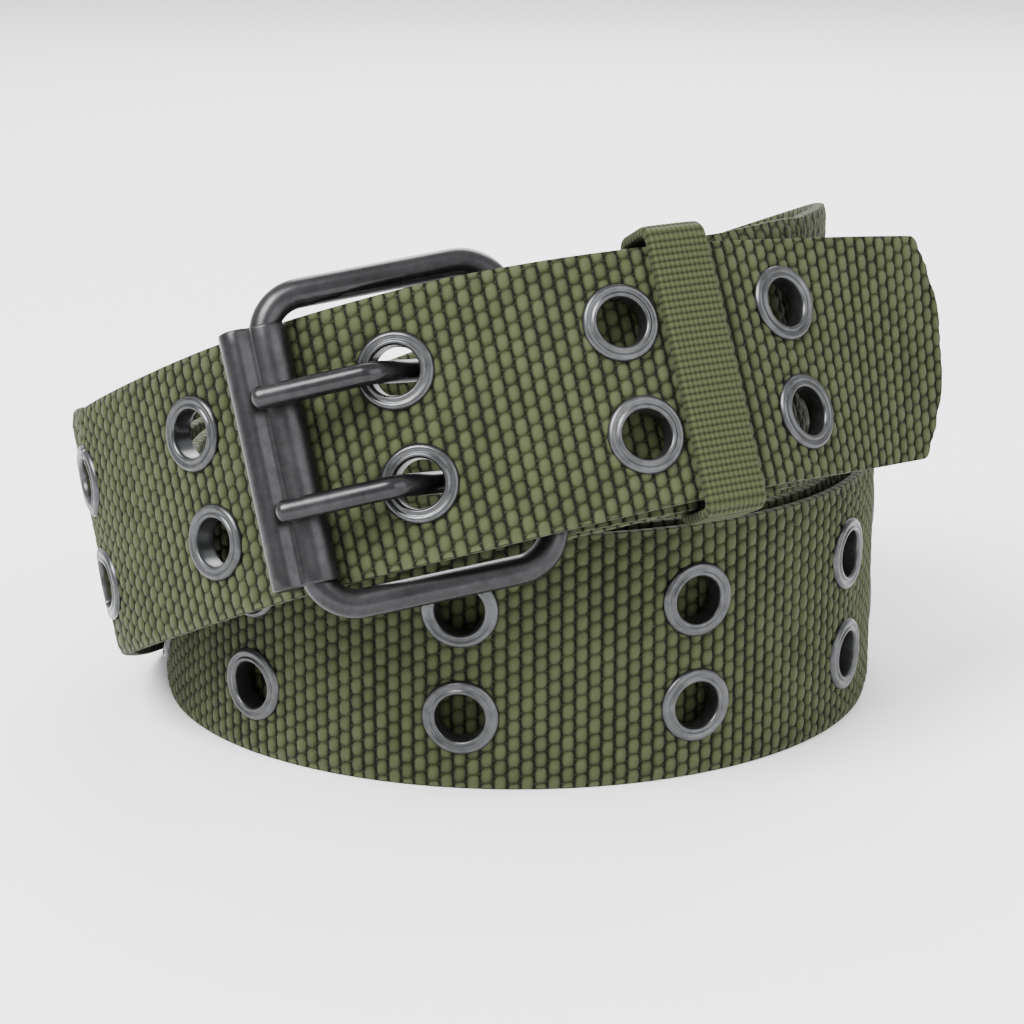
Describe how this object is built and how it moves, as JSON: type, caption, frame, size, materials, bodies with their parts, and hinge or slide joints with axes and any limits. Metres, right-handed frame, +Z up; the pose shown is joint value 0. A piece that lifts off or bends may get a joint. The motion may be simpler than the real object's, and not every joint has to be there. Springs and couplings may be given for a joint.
{
  "type": "military belt",
  "caption": "Olive webbing belt with paired metal eyelets and a dark double-prong buckle, fastened, wound into a coil and stood on its edge.",
  "frame": {"origin": "middle of the bounding box's base, on the surface that the belt stands on", "axes": "+X towards the side that the loose end points to, -Y towards the buckle, +Z up"},
  "size_m": [0.1346, 0.132, 0.081],
  "materials": {
    "webbing": "coarse woven, matt",
    "keeper_webbing": "fine ribbed, matt",
    "gunmetal": "satin black",
    "eyelet_metal": "satin"
  },
  "bodies": {
    "root": {"strap": "webbing", "buckle_frame": "gunmetal", "buckle_sleeve": "gunmetal", "prong_upper": "gunmetal", "prong_lower": "gunmetal", "keeper": "keeper_webbing", "eyelet_01_upper": "eyelet_metal", "eyelet_01_lower": "eyelet_metal", "eyelet_02_upper": "eyelet_metal", "eyelet_02_lower": "eyelet_metal", "eyelet_03_upper": "eyelet_metal", "eyelet_03_lower": "eyelet_metal", "eyelet_04_upper": "eyelet_metal", "eyelet_04_lower": "eyelet_metal", "eyelet_05_upper": "eyelet_metal", "eyelet_05_lower": "eyelet_metal", "eyelet_06_upper": "eyelet_metal", "eyelet_06_lower": "eyelet_metal", "eyelet_07_upper": "eyelet_metal", "eyelet_07_lower": "eyelet_metal", "eyelet_08_upper": "eyelet_metal", "eyelet_08_lower": "eyelet_metal", "eyelet_09_upper": "eyelet_metal", "eyelet_09_lower": "eyelet_metal", "eyelet_10_upper": "eyelet_metal", "eyelet_10_lower": "eyelet_metal", "eyelet_11_upper": "eyelet_metal", "eyelet_11_lower": "eyelet_metal", "eyelet_12_upper": "eyelet_metal", "eyelet_12_lower": "eyelet_metal", "eyelet_13_upper": "eyelet_metal", "eyelet_13_lower": "eyelet_metal", "eyelet_14_upper": "eyelet_metal", "eyelet_14_lower": "eyelet_metal", "eyelet_15_upper": "eyelet_metal", "eyelet_15_lower": "eyelet_metal", "eyelet_16_upper": "eyelet_metal", "eyelet_16_lower": "eyelet_metal", "eyelet_17_upper": "eyelet_metal", "eyelet_17_lower": "eyelet_metal", "eyelet_18_upper": "eyelet_metal", "eyelet_18_lower": "eyelet_metal"}
  },
  "joints": []
}
